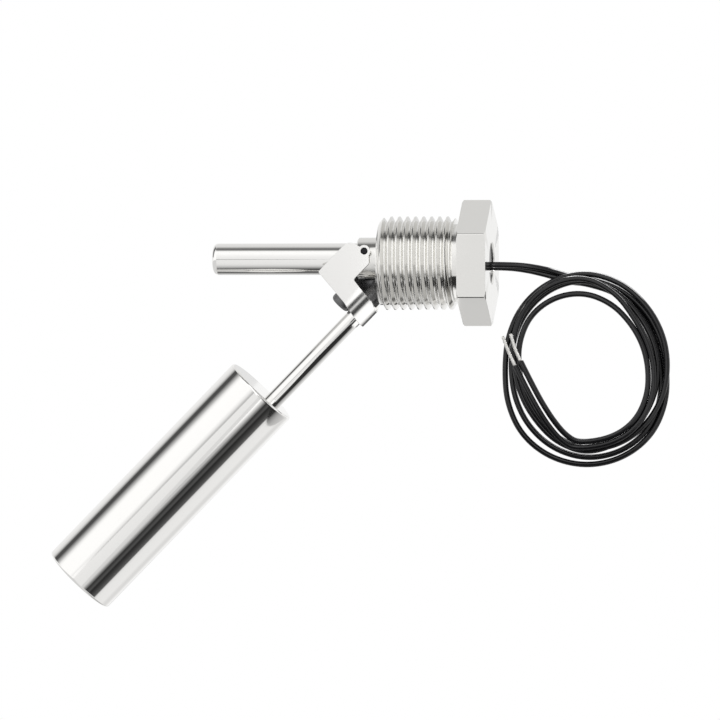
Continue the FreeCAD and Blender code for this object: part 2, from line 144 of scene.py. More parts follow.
class Finishes(PropertyGroup):
    steel: colour("Turned steel", "#E2E1DE", "Stainless steel off the lathe")
    sheet: colour("Tumbled sheet", "#F2F1EF", "Stamped stainless sheet, tumbled")
    scale: colour("Painted fold shade", "#6A6A6B", "Inside of the folded sheet")
    # painted shade: the dark colour that stands in for the shade inside the yoke's fold
    pin_painted_shade: colour("Painted pin shade", "#2B2B2D", "Hinge pin")
    # painted shade: the pin's dark colour stands in for the shade in its hole
    polish: colour("Polished steel", "#EFEEEC", "Buffed stainless steel")
    pvc: colour("Insulation", "#0F0F11", "Wire insulation")
    resin: colour("Resin", "#141416", "Potting resin")
    ferrite: colour("Ferrite", "#232325", "Magnet")
    tin: colour("Tin", "#ECEBE8", "Tinned copper")
    nylon: colour("Nylon", "#E4E1D6", "Reed holder")
    glass: colour("Glass", "#DDEBE4", "Reed switch envelope")
    floor: colour("Floor", "#F4F4F3", "Floor and backdrop")


# ---- finishes ----

def add_node(tree, kind, inputs=None, **settings):
    """A shader node with its settings, its values and its links."""
    made = tree.nodes.new(kind)
    for key, value in settings.items():
        setattr(made, key, value)
    for key, value in (inputs or {}).items():
        if isinstance(value, bpy.types.NodeSocket):
            tree.links.new(value, made.inputs[key])
        else:
            made.inputs[key].default_value = value
    return made


def new_material(name):
    """An empty material, its node tree and its surface socket."""
    made = bpy.data.materials.new(name)
    if made.name != name:
        raise ValueError(f"another material is named {name}")
    made.use_nodes = True
    made.node_tree.nodes.clear()
    output = made.node_tree.nodes.new("ShaderNodeOutputMaterial")
    return made, made.node_tree, output.inputs["Surface"]


def finish_surface(tree, surface, **inputs):
    """Puts a Principled shader on the surface; names use _ for a space."""
    values = {key.replace("_", " "): value for key, value in inputs.items()}
    shader = add_node(tree, "ShaderNodeBsdfPrincipled", values)
    tree.links.new(shader.outputs["BSDF"], surface)


def turned_stainless_steel(finishes):
    """Stainless bar turned on a lathe: bright, with fine rings of tool marks about the X axis."""
    made, tree, surface = new_material("turned_stainless_steel")
    place = add_node(tree, "ShaderNodeTexCoord").outputs["Object"]
    # tool marks 0.12 mm apart along the axis and about 17 mm long round it; a finer feed would not show
    rings = add_node(tree, "ShaderNodeMapping", {
        "Vector": place, "Scale": (1 / (0.12 * MM), 60, 60),
    })
    marks = add_node(tree, "ShaderNodeTexNoise", {
        "Vector": rings.outputs["Vector"], "Scale": 1.0, "Detail": 2.0,
    })
    blotch = add_node(tree, "ShaderNodeTexNoise", {"Vector": place, "Scale": 1 / (4 * MM), "Detail": 3.0})
    rough = add_node(tree, "ShaderNodeMapRange", {
        "Value": blotch.outputs["Fac"], "To Min": 0.08, "To Max": 0.16,
    })
    edge = add_node(tree, "ShaderNodeBevel", {"Radius": 0.1 * MM}, samples=4)
    bump = add_node(tree, "ShaderNodeBump", {
        "Height": marks.outputs["Fac"], "Normal": edge.outputs["Normal"], "Strength": 0.25,
        "Distance": 0.004 * MM,
    })
    finish_surface(
        tree, surface, Base_Color=finishes.steel, Metallic=1.0, Roughness=rough.outputs["Result"],
        Normal=bump.outputs["Normal"],
    )
    return made


def buffed_stainless_steel(finishes):
    """Drawn stainless tube buffed to a mirror: clean bands of light, with a faint haze of buffing."""
    made, tree, surface = new_material("buffed_stainless_steel")
    place = add_node(tree, "ShaderNodeTexCoord").outputs["Object"]
    haze = add_node(tree, "ShaderNodeTexNoise", {"Vector": place, "Scale": 1 / (9 * MM), "Detail": 4.0})
    rough = add_node(tree, "ShaderNodeMapRange", {
        "Value": haze.outputs["Fac"], "To Min": 0.05, "To Max": 0.1,
    })
    finish_surface(
        tree, surface, Base_Color=finishes.polish, Metallic=1.0, Roughness=rough.outputs["Result"]
    )
    return made


def tumbled_stainless_sheet(finishes):
    """Stamped stainless sheet, tumbled: pale and satin with softened edges, with painted shade: dark inside
    the fold.
    """
    made, tree, surface = new_material("tumbled_stainless_sheet")
    texture = add_node(tree, "ShaderNodeTexCoord")
    place = texture.outputs["Object"]
    grain = add_node(tree, "ShaderNodeTexNoise", {"Vector": place, "Scale": 1 / (0.5 * MM), "Detail": 3.0})
    edge = add_node(tree, "ShaderNodeBevel", {"Radius": 0.14 * MM}, samples=4)
    bump = add_node(tree, "ShaderNodeBump", {
        "Height": grain.outputs["Fac"], "Normal": edge.outputs["Normal"], "Strength": 0.2,
        "Distance": 0.01 * MM,
    })
    # painted shade: the fold's inside, what faces -Y in the far half of the yoke, is coloured dark for the
    # shade there
    depth = add_node(tree, "ShaderNodeSeparateXYZ", {"Vector": place})
    facing = add_node(tree, "ShaderNodeSeparateXYZ", {"Vector": texture.outputs["Normal"]})
    far = add_node(tree, "ShaderNodeMapRange", {
        "Value": depth.outputs["Y"], "From Min": 0.0, "From Max": 2.5 * MM,
    })
    inward = add_node(tree, "ShaderNodeMapRange", {
        "Value": facing.outputs["Y"], "From Min": -0.3, "From Max": -0.7,
    })
    inside = add_node(tree, "ShaderNodeMath", {
        0: far.outputs["Result"], 1: inward.outputs["Result"],
    }, operation="MULTIPLY")
    # mixes the painted shade into the sheet's colour
    shade = add_node(tree, "ShaderNodeMix", {
        "Factor": inside.outputs["Value"], "A": finishes.sheet, "B": finishes.scale,
    }, data_type="RGBA")
    finish_surface(
        tree, surface, Base_Color=shade.outputs["Result"], Metallic=1.0, Roughness=0.17,
        Normal=bump.outputs["Normal"],
    )
    return made


def painted_shade_pin_steel(finishes):
    """Hardened steel pin, coloured dark as painted shade for the hole round it, with a soft metallic glint.
    """
    made, tree, surface = new_material("painted_shade_pin_steel")
    place = add_node(tree, "ShaderNodeTexCoord").outputs["Object"]
    wear = add_node(tree, "ShaderNodeTexNoise", {"Vector": place, "Scale": 1 / (0.7 * MM), "Detail": 3.0})
    rough = add_node(tree, "ShaderNodeMapRange", {
        "Value": wear.outputs["Fac"], "To Min": 0.2, "To Max": 0.4,
    })
    # the dark base colour is painted shade
    finish_surface(
        tree, surface, Base_Color=finishes.pin_painted_shade, Metallic=1.0, Roughness=rough.outputs["Result"]
    )
    return made


def extruded_black_pvc(finishes):
    """Extruded black PVC: glossy, a little uneven along its length."""
    made, tree, surface = new_material("extruded_black_pvc")
    place = add_node(tree, "ShaderNodeTexCoord").outputs["Object"]
    waves = add_node(tree, "ShaderNodeTexNoise", {"Vector": place, "Scale": 1 / (1.6 * MM), "Detail": 3.0})
    bump = add_node(tree, "ShaderNodeBump", {
        "Height": waves.outputs["Fac"], "Strength": 0.6, "Distance": 0.05 * MM,
    })
    scuff = add_node(tree, "ShaderNodeMapRange", {
        "Value": waves.outputs["Fac"], "To Min": 0.12, "To Max": 0.26,
    })
    finish_surface(
        tree, surface, Base_Color=finishes.pvc, Roughness=scuff.outputs["Result"], IOR=1.53,
        Specular_IOR_Level=0.4, Normal=bump.outputs["Normal"],
    )
    return made


def cast_black_epoxy(finishes):
    """Poured black epoxy: wet-looking, dished a little by shrinkage."""
    made, tree, surface = new_material("cast_black_epoxy")
    place = add_node(tree, "ShaderNodeTexCoord").outputs["Object"]
    swell = add_node(tree, "ShaderNodeTexNoise", {"Vector": place, "Scale": 1 / (2 * MM), "Detail": 2.0})
    bump = add_node(tree, "ShaderNodeBump", {
        "Height": swell.outputs["Fac"], "Strength": 0.3, "Distance": 0.1 * MM,
    })
    finish_surface(
        tree, surface, Base_Color=finishes.resin, Roughness=0.22, IOR=1.55, Normal=bump.outputs["Normal"]
    )
    return made


def sintered_ferrite(finishes):
    """Ground ferrite: near black with a fine dry grain."""
    made, tree, surface = new_material("sintered_ferrite")
    place = add_node(tree, "ShaderNodeTexCoord").outputs["Object"]
    grain = add_node(tree, "ShaderNodeTexNoise", {"Vector": place, "Scale": 1 / (0.25 * MM), "Detail": 4.0})
    bump = add_node(tree, "ShaderNodeBump", {
        "Height": grain.outputs["Fac"], "Strength": 0.4, "Distance": 0.02 * MM,
    })
    finish_surface(
        tree, surface, Base_Color=finishes.ferrite, Roughness=0.42, IOR=2.2, Normal=bump.outputs["Normal"]
    )
    return made


def tin_dipped_copper(finishes):
    """Copper dipped in tin: pale grey with soft pools of solder."""
    made, tree, surface = new_material("tin_dipped_copper")
    place = add_node(tree, "ShaderNodeTexCoord").outputs["Object"]
    pools = add_node(tree, "ShaderNodeTexNoise", {"Vector": place, "Scale": 1 / (0.6 * MM), "Detail": 3.0})
    rough = add_node(tree, "ShaderNodeMapRange", {
        "Value": pools.outputs["Fac"], "To Min": 0.22, "To Max": 0.42,
    })
    finish_surface(
        tree, surface, Base_Color=finishes.tin, Metallic=1.0, Roughness=rough.outputs["Result"]
    )
    return made


def moulded_natural_nylon(finishes):
    """Natural moulded nylon: off-white, slightly waxy."""
    made, tree, surface = new_material("moulded_natural_nylon")
    place = add_node(tree, "ShaderNodeTexCoord").outputs["Object"]
    flow = add_node(tree, "ShaderNodeTexNoise", {"Vector": place, "Scale": 1 / (3 * MM), "Detail": 2.0})
    rough = add_node(tree, "ShaderNodeMapRange", {
        "Value": flow.outputs["Fac"], "To Min": 0.35, "To Max": 0.5,
    })
    finish_surface(tree, surface, Base_Color=finishes.nylon, Roughness=rough.outputs["Result"], IOR=1.53)
    return made


def green_reed_glass(finishes):
    """Drawn soda-lime tube: clear with a green cast, and faintly wavy from the drawing."""
    made, tree, surface = new_material("green_reed_glass")
    place = add_node(tree, "ShaderNodeTexCoord").outputs["Object"]
    waves = add_node(tree, "ShaderNodeTexNoise", {"Vector": place, "Scale": 1 / (1.2 * MM), "Detail": 2.0})
    bump = add_node(tree, "ShaderNodeBump", {
        "Height": waves.outputs["Fac"], "Strength": 0.2, "Distance": 0.01 * MM,
    })
    finish_surface(
        tree, surface, Base_Color=finishes.glass, Roughness=0.02, IOR=1.52, Transmission_Weight=1.0,
        Normal=bump.outputs["Normal"],
    )
    return made


MADE = {}


def paint(piece, finish):
    """Gives the whole piece one finish, whose material is made for the first piece that takes it."""
    if finish not in MADE:
        MADE[finish] = finish(bpy.context.scene.levelswitch_finishes)
    piece.data.materials.clear()
    piece.data.materials.append(MADE[finish])


# ---- shapes ----

WELD = 1e-7
SHARP_EDGE = math.radians(35)
CURVE_STEPS = 8


def object_from(name, data, body):
    """A new object in the scene that rides on a body."""
    made = bpy.data.objects.new(name, data)
    bpy.context.scene.collection.objects.link(made)
    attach(made, body)
    return made


def ring_mesh(name, rings):
    """A closed mesh over rings whose last point meets the first, the last ring joined to the first."""
    form = bmesh.new()
    made = [[form.verts.new(p) for p in ring] for ring in rings]
    for this, following in zip(made, made[1:] + made[:1]):
        for i in range(len(this) - 1):
            form.faces.new((this[i], this[i + 1], following[i + 1], following[i]))
    bmesh.ops.remove_doubles(form, verts=form.verts, dist=WELD)
    bmesh.ops.recalc_face_normals(form, faces=form.faces)
    mesh = bpy.data.meshes.new(name)
    form.to_mesh(mesh)
    form.free()
    for face in mesh.polygons:
        face.use_smooth = True
    mesh.set_sharp_from_angle(angle=SHARP_EDGE)
    return mesh


def route(name, points, thickness=0.0):
    """A smooth round NURBS curve with these control points, given in millimetres."""
    curve = bpy.data.curves.new(name, "CURVE")
    curve.dimensions = "3D"
    curve.resolution_u = CURVE_STEPS
    spline = curve.splines.new("NURBS")
    spline.points.add(len(points) - 1)
    for point, (x, y, z) in zip(spline.points, points):
        point.co = (x * MM, y * MM, z * MM, 1.0)
        point.radius = thickness / 2
    spline.order_u = 3
    spline.use_endpoint_u = True
    return curve


def line_of(curve):
    """The points of a curve's own line."""
    holder = bpy.data.objects.new(curve.name + "_line", curve)
    mesh = bpy.data.meshes.new_from_object(holder)
    points = [v.co.copy() for v in mesh.vertices]
    bpy.data.meshes.remove(mesh)
    bpy.data.objects.remove(holder)
    return points


# ---- leads, in millimetres ----

# (Y, Z) of each wire where it leaves the potting
WIRE_A_PLACE = (-0.626, -0.387)
WIRE_B_PLACE = (0.626, -1.013)
# from the potting to the coil's top
LEAD_A = [
    (6.0, *WIRE_A_PLACE), (9.8, *WIRE_A_PLACE), (13.8, -0.50, -0.60), (17.6, 0.10, -1.22),
    (20.8, 0.95, -2.02), (24.0, 1.35, -3.05),
]
LEAD_B = [
    (6.0, *WIRE_B_PLACE), (9.9, *WIRE_B_PLACE), (14.1, 0.75, -1.55), (17.9, 1.05, -2.42),
    (21.1, 1.30, -3.35), (24.2, 1.35, -4.35),
]
# distance of each wire from the coil's middle, every eighth of a turn, clockwise from the top
TURNS_A = (
    20.2, 18.6, 17.9, 20.6, 21.3, 20.3, 17.95, 19.95, 21.5, 19.6, 18.3, 18.2, 17.7, 15.0, 14.7, 17.0,
    16.9, 14.4, 14.1, 15.95, 16.2,
)
TURNS_B = (
    18.9, 17.3, 16.6, 19.3, 19.7, 17.9, 16.6, 18.5, 19.9, 16.9, 16.2, 16.9, 18.4, 15.7, 15.7, 19.2,
    20.5, 15.7, 15.45, 17.2, 17.6,
)
# from the coil's foot up across its left side
TAIL_A = [
    (26.3, -1.45, -40.3), (23.3, -1.80, -38.5), (20.6, -2.30, -35.2), (18.3, -2.60, -31.6),
    (16.5, -2.75, -28.3), (14.85, -2.80, -25.1), (13.30, -2.80, -22.0),
]
TAIL_B = [
    (25.6, -1.45, -41.7), (22.2, -1.80, -39.7), (19.3, -2.30, -36.2), (17.0, -2.60, -32.5),
    (15.2, -2.75, -29.2), (13.6, -2.80, -26.1), (12.10, -2.80, -23.1),
]
STRAND_A = [(13.30, -2.80, -22.0), (12.30, -2.80, -20.0), (11.60, -2.82, -17.95), (11.05, -2.88, -15.85)]
STRAND_B = [(12.10, -2.80, -23.1), (11.05, -2.80, -21.0), (10.12, -2.81, -18.7), (9.26, -2.85, -16.4)]
WIRES = (
    ("a", WIRE_A_PLACE, LEAD_A, TURNS_A, TAIL_A, STRAND_A),
    ("b", WIRE_B_PLACE, LEAD_B, TURNS_B, TAIL_B, STRAND_B),
)
COIL_MIDDLE = (27.5, -23.8)
COIL_TURNS = 2.44
# Y of each turn, and the stretch before a turn's end, in turns, where the wires step to the next
PASS_DEPTHS = (1.35, 0.0, -1.35)
STEP_FROM, STEP_TO = 0.28, 0.03
OUTER_STRANDS = 6
STRAND_SIDES = 8


def smooth_step(low, high, value):
    """0 below low, 1 above high and a smooth rise between."""
    t = min(1.0, max(0.0, (value - low) / (high - low)))
    return t * t * (3 - 2 * t)


def smooth_between(p, t):
    """A value from p[1] at t = 0 to p[2] at t = 1, on a smooth curve through all four."""
    square = 2 * p[0] - 5 * p[1] + 4 * p[2] - p[3]
    cube = 3 * (p[1] - p[2]) + p[3] - p[0]
    return p[1] + 0.5 * t * (p[2] - p[0] + t * (square + t * cube))


def coil_points(radii, points_per_turn):
    """The coiled middle of a wire: clockwise from the top, its turns of unlike size, one before another."""
    points = []
    for k in range(int(COIL_TURNS * points_per_turn) + 1):
        turn = k / points_per_turn
        i = int(turn * 8)
        near = [radii[min(max(i + n, 0), len(radii) - 1)] for n in (-1, 0, 1, 2)]
        # a control point lies outside the curve that it draws
        radius = smooth_between(near, turn * 8 - i) / math.cos(math.pi / points_per_turn)
        bearing = math.radians(90 - 360 * turn)
        depth = PASS_DEPTHS[0]
        for nth in (1, 2):
            step = PASS_DEPTHS[nth] - PASS_DEPTHS[nth - 1]
            depth += step * smooth_step(nth - STEP_FROM, nth - STEP_TO, turn)
        x, z = COIL_MIDDLE
        points.append((x + radius * math.cos(bearing), depth, z + radius * math.sin(bearing)))
    return points


def strand_bundle(name, points, sizes):
    """One straight strand and six twisted round it, along a short route."""
    line = line_of(route(name + "_route", points))
    radius = sizes.strand_d / 2
    form = bmesh.new()
    for strand in range(OUTER_STRANDS + 1):
        out = 0.0 if strand == 0 else (sizes.bundle_d - sizes.strand_d) / 2
        run = 0.0
        previous = None
        for i, here in enumerate(line):
            along = (line[min(i + 1, len(line) - 1)] - line[max(i - 1, 0)]).normalized()
            side = along.cross(Vector((0, 1, 0))).normalized()
            up = along.cross(side)
            run += (here - line[i - 1]).length if i else 0.0
            turn = 2 * math.pi * (strand / OUTER_STRANDS + run / sizes.lay)
            middle = here + out * (side * math.cos(turn) + up * math.sin(turn))
            turns = [2 * math.pi * k / STRAND_SIDES for k in range(STRAND_SIDES)]
            ring = [form.verts.new(middle + radius * (side * math.cos(t) + up * math.sin(t))) for t in turns]
            if previous:
                for k in range(STRAND_SIDES):
                    n = (k + 1) % STRAND_SIDES
                    form.faces.new((previous[k], previous[n], ring[n], ring[k]))
            else:
                form.faces.new(ring[::-1])
            previous = ring
        form.faces.new(previous)
    bmesh.ops.recalc_face_normals(form, faces=form.faces)
    mesh = bpy.data.meshes.new(name)
    form.to_mesh(mesh)
    form.free()
    for face in mesh.polygons:
        face.use_smooth = len(face.vertices) == 4
    return mesh


class LEVELSWITCH_OT_leads(Operator):
    """Coils the two insulated leads and twists their tinned ends"""
    bl_idname = "levelswitch.leads"
    bl_label = "Leads"

    def execute(self, context):
        sizes = context.scene.levelswitch_leads
        for letter, place, lead, turns, tail, strand in WIRES:
            points = lead + coil_points(turns, sizes.turn_points) + tail
            curve = route("lead_wire_" + letter, points, sizes.wire_d)
            # each point's radius holds the wire's size, so that the curve's box is right as well
            curve.bevel_depth = 1.0
            curve.bevel_resolution = 4
            curve.use_fill_caps = True
            wire = object_from("lead_wire_" + letter, curve, "plug")
            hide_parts("lead_" + letter, "lead_coil", "lead_tail_" + letter)
            paint(wire, extruded_black_pvc)
            mesh = strand_bundle("tinned_end_" + letter, strand, sizes)
            end = object_from("tinned_end_" + letter, mesh, "plug")
            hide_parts("bare_strand_" + letter)
            paint(end, tin_dipped_copper)
        return {"FINISHED"}


# ---- plug ----

EASE_STEPS = 3
CORNER_STEPS = 3
FLAT_STEPS = 32


def thread_profile(sizes):
    """(distance along, radius) of one thread from its crest's middle: flat crest and root, eased edges."""
    flank = math.radians(90) - sizes.thread_angle / 2
    ease = sizes.thread_edge
    tangent = ease * math.tan(flank / 2)
    crest = sizes.thread_crest / 2
    root = sizes.pitch / 2 - crest - sizes.thread_depth / math.tan(flank)
    turns = [flank * k / EASE_STEPS for k in range(EASE_STEPS + 1)]
    eased = [(math.sin(t) * ease, (1 - math.cos(t)) * ease) for t in turns]
    top, floor = sizes.thread_d / 2, sizes.thread_d / 2 - sizes.thread_depth
    half = [(0, top)] + [(crest - tangent + s, top - drop) for s, drop in eased]
    half += [(sizes.pitch / 2 - root + tangent - s, floor + drop) for s, drop in reversed(eased)]
    half += [(sizes.pitch / 2, floor)]
    return half + [(sizes.pitch - s, r) for s, r in half[-2:0:-1]]


def radius_at(profile, pitch, along):
    """The thread's radius at a distance along it."""
    s = along % pitch
    ends = profile + [(pitch, profile[0][1])]
    for (s0, r0), (s1, r1) in zip(ends, ends[1:]):
        if s <= s1:
            return r0 + (r1 - r0) * (s - s0) / (s1 - s0)
    return profile[0][1]


def corner_half_angle(sizes):
    """Half the angle that a hexagon's rounded corner takes up, seen from the axis."""
    middle = (sizes.hex_flats / 2 - sizes.hex_edge) / math.cos(math.pi / 6)
    return math.atan2(sizes.hex_edge / 2, middle + sizes.hex_edge * math.cos(math.pi / 6))


def ring_turns(sizes):
    """Angles round the plug: an even step, with closer ones at the hexagon's six corners."""
    corner = corner_half_angle(sizes)
    near = [corner * k / CORNER_STEPS for k in range(CORNER_STEPS + 1)] + [corner * 1.25]
    side = math.pi / 3
    even = [side * k / FLAT_STEPS for k in range(1, FLAT_STEPS)]
    one_side = near + even + [side - t for t in near[:0:-1]]
    return [nth * side + t for nth in range(6) for t in one_side] + [2 * math.pi]


def hexagon_radius(turn, sizes):
    """Distance from the axis to a hexagon with rounded corners, at a turn from one corner."""
    off = (turn + math.pi / 6) % (math.pi / 3) - math.pi / 6
    half = sizes.hex_flats / 2
    if abs(off) >= corner_half_angle(sizes):
        return half / math.cos(math.pi / 6 - abs(off))
    middle = (half - sizes.hex_edge) / math.cos(math.pi / 6)
    return middle * math.cos(off) + math.sqrt(sizes.hex_edge ** 2 - (middle * math.sin(off)) ** 2)


def threaded_plug_mesh(sizes):
    """The helical thread, undercut, hexagon and recess as one closed skin of rings about the X axis."""
    thread_r, relief_r, pitch = sizes.thread_d / 2, sizes.relief_d / 2, sizes.pitch
    thread_end = -sizes.relief_length
    slope = math.tan(sizes.hex_chamfer_slope)
    face_r = sizes.hex_flats / math.sqrt(3) - sizes.hex_chamfer / slope
    turns = ring_turns(sizes)
    angles = [math.pi / 2 + sizes.hex_roll + turn for turn in turns]
    flats = [hexagon_radius(turn, sizes) for turn in turns]
    profile = thread_profile(sizes)

    def ring(stations, radii, rise=0.0):
        return [(x, r * math.cos(a), rise + r * math.sin(a)) for x, r, a in zip(stations, radii, angles)]

    def plain_ring(x, radius, rise=0.0):
        return ring([x] * len(angles), [radius] * len(angles), rise)

    rings = []
    threads = math.ceil((thread_end - FRONT_X) / pitch) + 1
    for nth in range(threads, -2, -1):
        for s, _ in profile[::-1]:
            stations, radii = [], []
            for turn in turns:
                lead = pitch * turn / (2 * math.pi)
                x = min(max(thread_end - nth * pitch - s + lead, FRONT_X), thread_end)
                chamfers = min(x - FRONT_X - sizes.end_chamfer, thread_end - x - sizes.run_out, 0)
                stations.append(x)
                radii.append(min(radius_at(profile, pitch, thread_end - x + lead), thread_r + chamfers))
            rings.append(ring(stations, radii))
    rise = [max(0.0, (r - face_r) * slope) for r in flats]
    face = [min(r, face_r) for r in flats]
    bore_r, spigot_r, wall_x = sizes.bore_d / 2, sizes.spigot_d / 2, FRONT_X + sizes.wall
    rings += [
        plain_ring(thread_end, relief_r), plain_ring(0, relief_r), ring([0] * len(angles), face),
        ring(rise, flats), ring([HEX_END_X - r for r in rise], flats),
        ring([HEX_END_X] * len(angles), face), plain_ring(HEX_END_X, bore_r + sizes.bore_chamfer),
        plain_ring(HEX_END_X - sizes.bore_chamfer, bore_r), plain_ring(wall_x, bore_r),
        plain_ring(wall_x, spigot_r, sizes.spigot_rise), plain_ring(FRONT_X, spigot_r, sizes.spigot_rise),
    ]
    return ring_mesh("threaded_plug", rings)


class LEVELSWITCH_OT_plug(Operator):
    """Cuts the pipe thread and mills the hexagon of the plug, and fills its recess"""
    bl_idname = "levelswitch.plug"
    bl_label = "Threaded plug"

    def execute(self, context):
        mesh = threaded_plug_mesh(context.scene.levelswitch_plug)
        plug = object_from("threaded_plug", mesh, "plug")
        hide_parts("plug_body")
        paint(plug, turned_stainless_steel)
        paint(FRAME["nodes"]["potting"], cast_black_epoxy)
        return {"FINISHED"}


# ---- pieces that keep their shape and take a finish ----

class LEVELSWITCH_OT_hinge(Operator):
    """Finishes the neck, stem, pin, yoke, rod and magnet"""
    bl_idname = "levelswitch.hinge"
    bl_label = "Hinge and arm"

    def execute(self, context):
        for node, finish in (
            ("hinge_neck", turned_stainless_steel), ("hinge_pin", painted_shade_pin_steel),
            ("stem_tube", buffed_stainless_steel), ("yoke", tumbled_stainless_sheet),
            ("arm_rod", buffed_stainless_steel), ("magnet", sintered_ferrite),
        ):
            paint(FRAME["nodes"][node], finish)
        return {"FINISHED"}


class LEVELSWITCH_OT_float(Operator):
    """Finishes the float"""
    bl_idname = "levelswitch.float"
    bl_label = "Float"

    def execute(self, context):
        for node in ("float_tube", "float_cap_near", "float_cap_far"):
            paint(FRAME["nodes"][node], buffed_stainless_steel)
        return {"FINISHED"}


class LEVELSWITCH_OT_sensor(Operator):
    """Finishes the reed switch inside the stem"""
    bl_idname = "levelswitch.sensor"
    bl_label = "Reed switch"

    def execute(self, context):
        for node, finish in (
            ("inner_wire_a", extruded_black_pvc), ("inner_wire_b", extruded_black_pvc),
            ("joint_sleeve_a", tin_dipped_copper), ("joint_sleeve_b", tin_dipped_copper),
            ("reed_blade_a", tin_dipped_copper), ("reed_blade_b", tin_dipped_copper),
            ("reed_glass", green_reed_glass), ("reed_holder", moulded_natural_nylon),
        ):
            paint(FRAME["nodes"][node], finish)
        return {"FINISHED"}


# ---- stage ----

FLOOR_HALF = 4.0
FLOOR_GLOW = 0.75
# the way to the broad light, up and to the left of the camera, and how bright the sky is elsewhere and there
LIGHT_WAY = (-0.38, -0.857, 0.349)
SKY, SKY_AT_LIGHT = 1.0, 1.15
# a black flag to the right of the camera: its middle and half width about Z, and where it darkens upwards
FLAG_TURN, FLAG_HALF = math.radians(38), math.radians(22)
FLAG_FOOT, FLAG_TOP = math.radians(54), math.radians(62)
FLAG_GREY, FLAG_BLACK = 0.45, 0.03

ARM_DROP = math.radians(45.7)
ARM_AXIS = Vector((-math.cos(ARM_DROP), 0, -math.sin(ARM_DROP)))
ARM_UNDER = Vector((math.sin(ARM_DROP), 0, -math.cos(ARM_DROP)))
PLUG_AXIS = Vector((-1, 0, 0))

# a strip's tones are (turn from the camera's side in degrees, up positive; brightness; half width in mm)
ARM_TONES = (
    (-180, 1.0, 200), (-148, 1.0, 200), (-132, 0.80, 200), (-122, 0.80, 200), (-108, 0.94, 200),
    (-80, 0.92, 250), (-73, 0.80, 90), (-70, 0.12, 90), (-60, 0.06, 90), (-50, 0.02, 90), (-45, 0.09, 90),
    (-36, 0.03, 90), (-30, 0.30, 90), (-24, 0.72, 90), (-14, 0.80, 42), (-4, 0.80, 42), (4, 0.62, 42),
    (9, 0.45, 42), (14, 0.60, 42), (20, 0.95, 42), (28, 1.15, 120), (70, 1.15, 200), (78, 0.95, 300),
    (84, 0.60, 200), (92, 0.28, 200), (98, 0.08, 200), (110, 0.08, 200), (117, 0.50, 200),
    (124, 0.80, 200), (140, 0.94, 200), (180, 0.98, 200),
)
STEM_TONES = (
    (-180, 0.75, 30), (-146, 0.70, 30), (-132, 0.45, 30), (-118, 0.13, 30), (-84, 0.06, 30),
    (-72, 0.22, 30), (-60, 0.55, 30), (-50, 0.75, 50), (-36, 0.90, 75), (-10, 0.94, 75), (10, 0.97, 75),
    (40, 1.12, 120), (56, 1.1, 200), (62, 0.80, 250), (68, 0.22, 250), (82, 0.16, 250), (90, 0.45, 250),
    (96, 0.60, 250), (106, 0.82, 250), (139, 0.86, 250), (180, 0.80, 250),
)
CREST_TONES = (
    (-32, 0.3, 8.5), (-26, 0.8, 8.5), (-18, 1.2, 8.5), (-8, 1.35, 8.5), (58, 1.35, 8.5), (64, 0.7, 8.5),
    (69, 0.05, 8.5), (86, 0.05, 8.5), (94, 0.6, 8.5), (104, 0.9, 8.5),
)
# the flanks show the crests' bands, 1.4 times as bright
FLANK_TONES = tuple((turn, 1.4 * tone, 25) for turn, tone, _ in CREST_TONES)
UNDER_TONES = (
    (-112, 0.7, 32), (-92, 0.5, 32), (-84, 0.3, 32), (-78, 0.03, 32), (-37, 0.03, 32), (-32, 0.3, 32),
)
STRAP_TONES = (
    (-180, 0.10, 4.2), (-130, 0.10, 4.2), (-120, 0.6, 4.2), (-104, 1.2, 4.2), (-60, 1.2, 4.2),
    (-54, 0.6, 4.2), (-50, 0.05, 4.2), (-36, 0.05, 4.2), (-32, 0.7, 4.2), (-27, 0.8, 4.2),
    (-23, 0.05, 4.2), (-7, 0.05, 4.2),
)
STRAP_MIDDLE = PIN + ARM_AXIS * 0.0095 + ARM_UNDER * 0.0045
# name, middle, axis that it is bent round, radius and tones
STRIPS = (
    ("arm_strip", PIN + ARM_AXIS * 0.065, ARM_AXIS, 0.4, ARM_TONES),
    ("stem_strip", (-0.038, 0, 0.001), PLUG_AXIS, 0.4, STEM_TONES),
    ("thread_strip", (-0.0092, 0, 0), PLUG_AXIS, 0.06, CREST_TONES),
    ("flank_strip", (0.105, 0, 0), PLUG_AXIS, 0.4, FLANK_TONES),
    ("under_strip", (0.0163, 0, 0), PLUG_AXIS, 0.06, UNDER_TONES),
    ("strap_strip", STRAP_MIDDLE, ARM_AXIS, 0.03, STRAP_TONES),
)
STRIP_STEP = 4
# name, place, point that it faces, width and height, and watts
LAMPS = (
    ("key", (-0.5, -0.9, 0.9), (-0.02, 0, -0.02), (0.8, 0.6), 5),
    ("wires", (0.036, 0.0045, 0.0035), (0.036, 0.0045, -0.02), (0.03, 0.009), 0.0085),
)


def place_camera(scene, studio):
    """A camera level with the part, turned a little towards the leads."""
    turn = studio.azimuth
    right = Vector((math.cos(turn), math.sin(turn), 0))
    back = Vector((math.sin(turn), -math.cos(turn), 0))
    data = bpy.data.cameras.new("camera")
    data.lens = data.sensor_width * studio.distance / studio.view_width
    data.clip_end = 20
    camera = bpy.data.objects.new("camera", data)
    scene.collection.objects.link(camera)
    aim = right * studio.aim_across + Vector((0, 0, studio.aim_up))
    camera.location = aim + back * studio.distance
    camera.rotation_euler = (math.pi / 2, 0, turn)
    scene.camera = camera


def stage_mesh(name, rows, material):
    """A sheet over rows of points."""
    wide = len(rows[0])
    faces = [
        (r * wide + c, r * wide + c + 1, (r + 1) * wide + c + 1, (r + 1) * wide + c)
        for r in range(len(rows) - 1) for c in range(wide - 1)
    ]
    mesh = bpy.data.meshes.new(name)
    mesh.from_pydata([p for row in rows for p in row], [], faces)
    mesh.materials.append(material)
    made = bpy.data.objects.new(name, mesh)
    bpy.context.scene.collection.objects.link(made)
    return made


